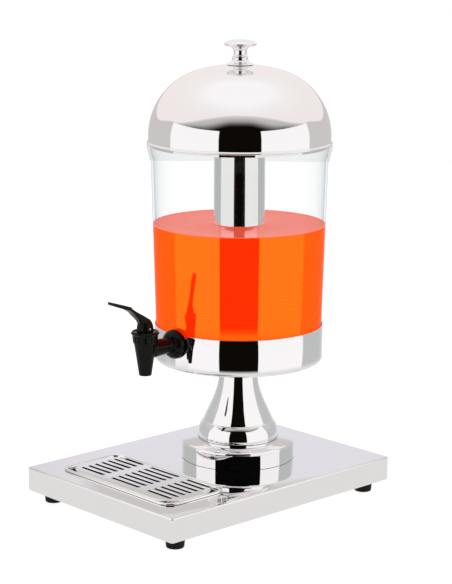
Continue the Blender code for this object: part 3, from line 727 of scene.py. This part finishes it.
def build_tap_body():
    """The tap's moulding: a tapered spout, a shank and a domed shoulder against the drum."""
    spout = [(6.7, 166.6), (7.2, 166.8), (7.45, 168.0), (10.3, 188.0), (12.8, 204.0)]
    spout += [(12.8, 213.3)]
    body = solid(turned(spout, 96, True, centre=on_spout()))
    shank = [(8.5, SPOUT_Y), (10.6, SPOUT_Y + 8), (10.6, -89.5)]
    shank += flowing([(10.5, -88.5), (9.7, -78.0), (9.25, -67.2), (10.4, -66.2), (12.6, -65.2)], 5)
    shank += flowing([(12.8, -65.1), (15.2, -62.8), (16.8, -60.0), (17.2, -57.6)], 5)
    shank += [(17.2, -56.3), (16.8, -55.9), (9.0, -55.9), (9.0, -37.4), (8.6, -37.0)]
    along = (0.0, 0.0, SHANK_Z)
    combine(body, turned(shank, 96, True, ALONG_Y, along), "UNION")
    neck = ((12.4, 204.4), (17.5, 204.4), (17.5, 220.0), (12.4, 220.0))
    combine(body, turned(neck, 96, centre=on_spout()))
    valve = ((5.0, 160.0), (5.0, 190.0), (9.0, 190.0), (9.0, 220.0))
    combine(body, turned(valve, 64, True, centre=on_spout()))
    combine(body, turned(((5.0, SPOUT_Y + 3), (5.0, -30.0)), 48, True, ALONG_Y, along))
    piece(body, "tap_moulding", BLACK_PLASTIC, "container", ["tap_body"])


def build_bonnet():
    """The tap's bonnet: a flange over a skirt with upright recesses, and a shallow dish on top."""
    profile = [(12.7, 204.7), (13.7, 204.7), (13.95, 205.0), (15.0, 214.3), (15.2, 214.7)]
    profile += arc(15.6, 216.2, 0.9, -70, 60, 6)
    profile += flowing([(15.8, 217.2), (15.3, 218.0), (14.8, 218.5)], 4)
    profile += [(14.3, 218.5), (13.9, 218.1), (11.5, 216.9), (2.4, 216.8), (2.4, 214.5), (12.7, 214.5)]
    bonnet = solid(turned(profile, 112, centre=on_spout()))
    recesses = []
    for i in range(14):
        recess = skin([rounded(3.0, 1.8, 0.6, z, (16.35, 0.0), 3) for z in (206.0, 213.2)])
        turn = Matrix.Rotation(math.tau * (i + 0.5) / 14, 4, "Z")
        recess.transform(Matrix.Translation(on_spout()) @ turn)
        recesses.append(recess)
    combine(bonnet, gathered(recesses))
    piece(bonnet, "tap_ribbed_bonnet", BLACK_PLASTIC, "container", ["tap_bonnet"])


def build_lever():
    """The lever: a hood over the stem, a rising arm, and a flat paddle with softened edges."""
    base = 217.1
    hood = [(9.2, base), (9.7, base + 0.5), (9.75, 221.0)]
    hood += flowing([(9.7, 222.0), (9.0, 226.0), (7.5, 229.4), (5.9, 231.6), (4.6, 232.4)], 5)
    lever = solid(turned(hood, 64, True, centre=on_spout()))
    sections = (
        ((-96.5, 226.0), (-108.5, 226.0), 4.6),
        ((-97.6, 231.9), (-111.0, 231.0), 4.9),
        ((-104.5, 236.4), (-115.0, 235.2), 5.1),
        ((-113.5, 241.5), (-119.0, 239.0), 5.4),
        ((-121.5, 246.2), (-122.0, 242.6), 6.2),
        ((-126.3, 249.6), (-127.0, 245.9), 7.2),
        ((-127.4, 251.1), (-128.2, 246.9), 7.6),
        ((-139.0, 254.9), (-139.2, 250.5), 7.6),
        ((-150.4, 258.5), (-150.2, 255.0), 7.3),
    )
    loops = []
    for top, bottom, half in sections:
        corners = ((-half, *top), (half, *top), (half, *bottom), (-half, *bottom))
        loops.append([Vector(corner) for corner in corners])
    arm = edged(solid(skin(loops)), 0.7, 3, 40.0)
    shape = bmesh.new()
    shape.from_mesh(arm.data)
    bpy.data.objects.remove(arm, do_unlink=True)
    combine(lever, shape, "UNION")
    middle = (0.0, SPOUT_Y - 0.1)
    slot = skin([rounded(2.5, 4.9, 1.0, z, middle, 4) for z in (210.0, PIN_Z + 5.4)])
    combine(lever, slot)
    pin_hole = turned(((1.5, -12.0), (1.5, 12.0)), 24, True, ALONG_X, on_spout(PIN_Z))
    combine(lever, pin_hole)
    piece(lever, "tap_lever_moulded", BLACK_PLASTIC, "lever", ["tap_lever"])


def finish_cad_nodes():
    """Gives the CAD nodes that stay visible their materials."""
    surfaces = {
        "chrome": CHROME,
        "mirror_steel": MIRROR_STEEL,
        "fastener_steel": FASTENER_STEEL,
        "black_plastic": BLACK_PLASTIC,
        "black_rubber": BLACK_RUBBER,
        "pale_silicone": SILICONE,
        "clear_plastic": CLEAR,
    }
    slots = {part["node"]: part["material_slot"] for part in frame["record"]["subparts"]}
    for node, obj in frame["nodes"].items():
        obj.data.materials.clear()
        obj.data.materials.append(surfaces[slots[node]])


# Floor, light and camera.


def build_floor():
    """A plain pale floor."""
    loops = [circle(3000.0, -0.6, 64), circle(3000.0, -0.05, 64)]
    obj = solid(skin(loops))
    obj.name = "floor"
    obj.data.transform(Matrix.Scale(MM, 4))
    material, graph, shader = surface("floor_pale")
    graph.feed(shader.inputs["Base Color"], (0.35, 0.35, 0.35, 1.0))
    graph.feed(shader.inputs["Roughness"], 1.0)
    graph.feed(shader.inputs["Specular IOR Level"], 0.0)
    graph.feed(shader.inputs["Emission Color"], (1.0, 1.0, 1.0, 1.0))
    graph.feed(shader.inputs["Emission Strength"], 0.85)
    obj.data.materials.append(material)
    obj.visible_glossy = False


def only_mirrored(obj):
    """Leaves an object of the studio visible in reflections only."""
    obj.visible_camera = False
    obj.visible_diffuse = False
    obj.visible_shadow = False


def room_colour(graph, toward, height):
    """The studio all round, by direction from the drum's axis and by height in metres.

    Tall white panels stand on both sides of a dark gap in front, with grey walls beyond them,
    a lilac backdrop behind, a pale table below and a pale ceiling overhead. Over the panels the gap
    goes on as a dark arch, which pales towards its edge and ends in a thin grey line.
    """
    turn = math.radians(CAMERA_AZIMUTH)

    def along(axis):
        """How far the direction goes along an axis."""
        made = graph.node("ShaderNodeVectorMath", toward, axis, operation="DOT_PRODUCT")
        return made.outputs["Value"]

    ahead = along((math.sin(turn), -math.cos(turn), 0.0))
    aside = along((math.cos(turn), math.sin(turn), 0.0))
    angle = graph.math("ABSOLUTE", graph.math("ARCTAN2", aside, ahead))
    azimuth = graph.math("MULTIPLY", angle, 180 / math.pi)

    white = (1.02, 1.0, 0.99, 1.0)
    blush = (0.93, 0.865, 0.85, 1.0)
    lilac = (0.80, 0.78, 0.83, 1.0)
    grey = (0.55, 0.565, 0.55, 1.0)
    black = (0.004, 0.003, 0.002, 1.0)
    table = (0.80, 0.78, 0.775, 1.0)
    wall = graph.mix(graph.step(azimuth, 24.2, 25.0), black, white)
    wall = graph.mix(graph.step(azimuth, 89.5, 92.0), wall, grey)
    wall = graph.mix(graph.step(azimuth, 132.0, 165.0), wall, lilac)
    wall = graph.mix(graph.step(height, 0.0, -0.06), wall, table)
    beyond = graph.math("MULTIPLY", graph.step(azimuth, 89.5, 92.0), graph.step(height, 0.28, 0.36))
    wall = graph.mix(beyond, wall, (0.62, 0.60, 0.585, 1.0))
    # The arch over the panels is tallest in front.
    panel_top = graph.step(azimuth, 88.0, 128.0, 0.655, 0.54)
    forward = graph.math("MAXIMUM", graph.math("COSINE", angle), 0.0)
    gap = graph.math("MULTIPLY", graph.math("POWER", forward, 1.7), 0.40)
    gap_top = graph.math("ADD", panel_top, gap)
    past_panel = graph.math("SUBTRACT", height, panel_top)
    rise = graph.math("DIVIDE", past_panel, graph.math("ADD", gap, 0.01))
    begins = graph.step(azimuth, 10.0, 50.0, 0.25, -0.25)
    ends = graph.step(azimuth, 10.0, 50.0, 1.0, 0.75)
    fade = graph.math("MAXIMUM", graph.step(azimuth, 40.0, 85.0), graph.step(rise, begins, ends))
    dark = graph.mix(fade, black, (0.62, 0.605, 0.59, 1.0))
    ceiling = graph.mix(graph.step(height, 0.7, 2.2), blush, (1.02, 1.0, 1.0, 1.0))
    softness = graph.math("MULTIPLY_ADD", gap, 0.22, 0.012)
    above = graph.math("DIVIDE", graph.math("SUBTRACT", height, gap_top), softness)
    over = graph.mix(graph.step(above, -1.0, 1.0), dark, ceiling)
    edge = graph.math("MULTIPLY", graph.step(above, -2.2, -0.8), graph.step(above, 1.2, -0.2))
    over = graph.mix(graph.math("MULTIPLY", edge, 0.45), over, (0.45, 0.43, 0.42, 1.0))
    return graph.mix(graph.step(past_panel, -0.004, 0.004), wall, over)


def build_room():
    """A round studio wall that only the reflections see, and the same light from afar."""
    radius = 0.75
    eye_height = 0.42
    world = bpy.data.worlds.new("studio")
    bpy.context.scene.world = world
    graph = Graph(world)
    direction = graph.node("ShaderNodeTexCoord").outputs["Generated"]
    parts = graph.node("ShaderNodeSeparateXYZ", direction)
    level = graph.node("ShaderNodeVectorMath", direction, (1.0, 1.0, 0.0), operation="MULTIPLY")
    length = graph.node("ShaderNodeVectorMath", level, operation="LENGTH").outputs["Value"]
    slope = graph.math("DIVIDE", parts.outputs["Z"], graph.math("MAXIMUM", length, 0.001))
    height = graph.math("MULTIPLY_ADD", slope, radius, eye_height)
    seen = graph.node("ShaderNodeLightPath").outputs["Is Camera Ray"]
    colour = graph.mix(seen, room_colour(graph, direction, height), (1.0, 1.0, 1.0, 1.0))
    graph.feed(graph.tree.nodes["Background"].inputs["Color"], colour)

    outer, low, high = radius / MM, -300.0, 1300.0
    ring = ((outer, low), (outer + 5, low), (outer + 5, high), (outer, high))
    wall = solid(turned(ring, 96, centre=on_axis()))
    wall.name = "studio_wall"
    wall.data.transform(Matrix.Scale(MM, 4))
    material = bpy.data.materials.new("studio_wall")
    graph = Graph(material)
    place = graph.node("ShaderNodeTexCoord").outputs["Object"]
    axis = (0.0, AXIS_Y * MM, 0.0)
    toward = graph.node("ShaderNodeVectorMath", place, axis, operation="SUBTRACT")
    height = graph.node("ShaderNodeSeparateXYZ", place).outputs["Z"]
    glow = graph.node("ShaderNodeEmission", room_colour(graph, toward, height), 1.0)
    graph.feed(graph.tree.nodes["Material Output"].inputs["Surface"], glow)
    wall.data.materials.append(material)
    only_mirrored(wall)


def build_flag():
    """A curved black card low in front, which shows only where one mirror is seen in another."""
    reach, low, high, spread = 300.0, 82.0, 175.0, 42.0
    turn = math.radians(CAMERA_AZIMUTH)
    facing = math.atan2(-math.cos(turn), math.sin(turn))
    mesh = bmesh.new()
    rows = []
    for a in sweep(-spread, spread, 24):
        x = reach * math.cos(facing + a)
        y = AXIS_Y + reach * math.sin(facing + a)
        rows.append([mesh.verts.new((x, y, z)) for z in (low, high)])
    for before, after in zip(rows, rows[1:]):
        mesh.faces.new((before[0], after[0], after[1], before[1]))
    flag = solid(mesh)
    flag.name = "black_flag"
    flag.data.transform(Matrix.Scale(MM, 4))
    material, graph, shader = surface("black_flag")
    graph.feed(shader.inputs["Base Color"], (0.003, 0.003, 0.003, 1.0))
    graph.feed(shader.inputs["Roughness"], 1.0)
    graph.feed(shader.inputs["Specular IOR Level"], 0.0)
    bounces = graph.node("ShaderNodeLightPath").outputs["Glossy Depth"]
    passing = graph.node("ShaderNodeBsdfTransparent")
    twice = graph.math("GREATER_THAN", bounces, 1.5)
    mixed = graph.node("ShaderNodeMixShader", twice, passing, shader)
    graph.feed(graph.tree.nodes["Material Output"].inputs["Surface"], mixed)
    flag.data.materials.append(material)
    only_mirrored(flag)


def build_camera():
    """The camera at the photograph's viewing angle."""
    azimuth = math.radians(CAMERA_AZIMUTH)
    pitch = math.radians(CAMERA_PITCH)
    roll = math.radians(CAMERA_ROLL)
    forward = Vector((-math.sin(azimuth), math.cos(azimuth), 0.0)) * math.cos(pitch)
    forward.z = -math.sin(pitch)
    level = Vector((math.cos(azimuth), math.sin(azimuth), 0.0))
    up = level.cross(forward)
    right = level * math.cos(roll) + up * math.sin(roll)
    up = right.cross(forward)
    data = bpy.data.cameras.new("camera")
    data.lens = CAMERA_LENS
    data.sensor_width = 36.0
    data.clip_end = 20.0
    camera = bpy.data.objects.new("camera", data)
    camera.matrix_world = Matrix.Translation(CAMERA_PLACE) @ Matrix(
        (
            (right.x, up.x, -forward.x, 0.0),
            (right.y, up.y, -forward.y, 0.0),
            (right.z, up.z, -forward.z, 0.0),
            (0.0, 0.0, 0.0, 1.0),
        )
    )
    bpy.context.scene.collection.objects.link(camera)
    bpy.context.scene.camera = camera


def main():
    """Builds the pieces, then the floor, light and camera."""
    finish_cad_nodes()
    build_base()
    build_feet()
    build_tray()
    build_grille()
    build_pedestal()
    build_cup()
    build_drum()
    build_juice()
    build_ice_tube()
    build_lid()
    build_tap_body()
    build_bonnet()
    build_lever()
    build_floor()
    build_room()
    build_flag()
    build_camera()
    bpy.context.scene.view_settings.view_transform = "Standard"


main()
